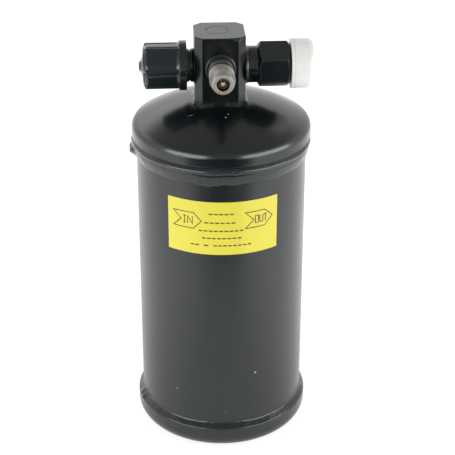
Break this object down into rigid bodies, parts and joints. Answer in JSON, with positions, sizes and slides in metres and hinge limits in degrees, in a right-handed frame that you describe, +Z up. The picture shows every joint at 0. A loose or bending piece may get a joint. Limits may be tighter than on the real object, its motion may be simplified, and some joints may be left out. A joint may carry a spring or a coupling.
{
  "type": "filter drier",
  "caption": "Welded steel canister filter drier with a square head block, a capped flare fitting on each side and a service valve in front.",
  "frame": {"origin": "centre of the flat base, on the canister's axis", "axes": "+Z up along the canister's axis; +X out of the outlet fitting, -X out of the inlet fitting; -Y out of the service valve"},
  "size_m": [0.0823, 0.0806, 0.1924],
  "materials": {
    "black_paint": "satin",
    "plated_steel": "satin",
    "brass": "satin",
    "black_plastic": "satin",
    "natural_plastic": "matte",
    "label_film": "satin",
    "rubber": "matte",
    "inner_steel": "satin",
    "tube_steel": "satin",
    "felt": "matte",
    "sieve_beads": "matte"
  },
  "bodies": {
    "canister": {"shell_body": "black_paint", "bottom_cap": "black_paint", "top_cap": "black_paint", "bottom_seam_weld": "black_paint", "top_seam_weld": "black_paint", "head_block": "black_paint", "head_plug": "black_paint", "head_block_weld": "black_paint", "inlet_fitting": "black_paint", "inlet_braze_ring": "black_paint", "outlet_fitting": "black_paint", "outlet_braze_ring": "black_paint", "service_valve_body": "plated_steel", "valve_core_body": "brass", "valve_core_seal": "rubber", "valve_core_spring": "inner_steel", "label": "label_film", "pickup_tube": "tube_steel", "pickup_strainer": "inner_steel", "lower_perforated_plate": "inner_steel", "lower_filter_pad": "felt", "desiccant_bed": "sieve_beads", "upper_filter_pad": "felt", "upper_perforated_plate": "inner_steel", "bed_spring": "inner_steel"},
    "valve_pin": {"valve_core_pin": "plated_steel", "valve_plunger_seal": "rubber"},
    "inlet_seal": {"inlet_cap_seal": "rubber"},
    "inlet_cap": {"inlet_cap": "black_plastic"},
    "outlet_cap": {"outlet_cap": "natural_plastic"}
  },
  "joints": [
    {"name": "service_pin_press", "type": "slide", "parent": "canister", "child": "valve_pin", "axis": [0, 1, 0], "range_m": [0, 0.0015], "stiffness_N_per_m": 900, "springref_m": -0.0012, "deforming": ["valve_core_spring"]},
    {"name": "inlet_cap_travel", "type": "slide", "parent": "canister", "child": "inlet_seal", "axis": [-1, 0, 0], "range_m": [0, 0.0113]},
    {"name": "inlet_cap_turn", "type": "hinge", "parent": "inlet_seal", "child": "inlet_cap", "pos_m": [-0.0249, 0, 0.1767], "axis": [-1, 0, 0], "range_deg": [0, 2880]},
    {"name": "outlet_cap_pull", "type": "slide", "parent": "canister", "child": "outlet_cap", "axis": [1, 0, 0], "range_m": [0, 0.014]}
  ],
  "couplings": [
    {"joint": "inlet_cap_travel", "follows": "inlet_cap_turn", "m_per_rad": 0.00022459}
  ]
}
